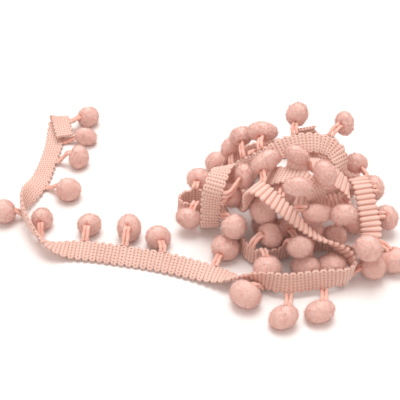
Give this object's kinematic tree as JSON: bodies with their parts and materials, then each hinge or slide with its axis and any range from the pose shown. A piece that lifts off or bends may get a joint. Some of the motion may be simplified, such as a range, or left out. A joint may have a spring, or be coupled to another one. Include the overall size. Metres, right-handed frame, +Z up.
{
  "type": "pompom fringe trim",
  "caption": "Knitted braid trim with small felted pompoms on yarn loops along one edge, dropped in a loose heap with one end trailing out of it.",
  "frame": {"origin": "middle of the laid trim's box in X and Y, on the surface it lies on", "axes": "+X to the right along the trim's longest side, heap at +X and loose end at -X; +Y away from the viewer; +Z up"},
  "size_m": [0.1751, 0.1386, 0.0469],
  "materials": {
    "tape_yarn": "matte knitted yarn, pale salmon pink",
    "pompom_yarn": "matte brushed felt, salmon pink"
  },
  "bodies": {
    "root": {"tape": "tape_yarn", "pompom_01": "pompom_yarn", "pompom_02": "pompom_yarn", "pompom_03": "pompom_yarn", "pompom_04": "pompom_yarn", "pompom_05": "pompom_yarn", "pompom_06": "pompom_yarn", "pompom_07": "pompom_yarn", "pompom_08": "pompom_yarn", "pompom_09": "pompom_yarn", "pompom_10": "pompom_yarn", "pompom_11": "pompom_yarn", "pompom_12": "pompom_yarn", "pompom_13": "pompom_yarn", "pompom_14": "pompom_yarn", "pompom_15": "pompom_yarn", "pompom_16": "pompom_yarn", "pompom_17": "pompom_yarn", "pompom_18": "pompom_yarn", "pompom_19": "pompom_yarn", "pompom_20": "pompom_yarn", "pompom_21": "pompom_yarn", "pompom_22": "pompom_yarn", "pompom_23": "pompom_yarn", "pompom_24": "pompom_yarn", "pompom_25": "pompom_yarn", "pompom_26": "pompom_yarn", "pompom_27": "pompom_yarn", "pompom_28": "pompom_yarn", "pompom_29": "pompom_yarn", "pompom_30": "pompom_yarn", "pompom_31": "pompom_yarn", "pompom_32": "pompom_yarn", "pompom_33": "pompom_yarn", "pompom_34": "pompom_yarn", "pompom_35": "pompom_yarn", "pompom_36": "pompom_yarn", "pompom_37": "pompom_yarn", "pompom_38": "pompom_yarn", "pompom_39": "pompom_yarn", "pompom_40": "pompom_yarn", "pompom_41": "pompom_yarn", "pompom_42": "pompom_yarn", "pompom_43": "pompom_yarn", "pompom_44": "pompom_yarn", "pompom_45": "pompom_yarn", "pompom_46": "pompom_yarn", "pompom_47": "pompom_yarn", "pompom_48": "pompom_yarn", "pompom_49": "pompom_yarn", "pompom_50": "pompom_yarn", "pompom_51": "pompom_yarn", "pompom_52": "pompom_yarn", "pompom_53": "pompom_yarn", "pompom_54": "pompom_yarn", "pompom_55": "pompom_yarn", "pompom_56": "pompom_yarn"}
  },
  "joints": []
}
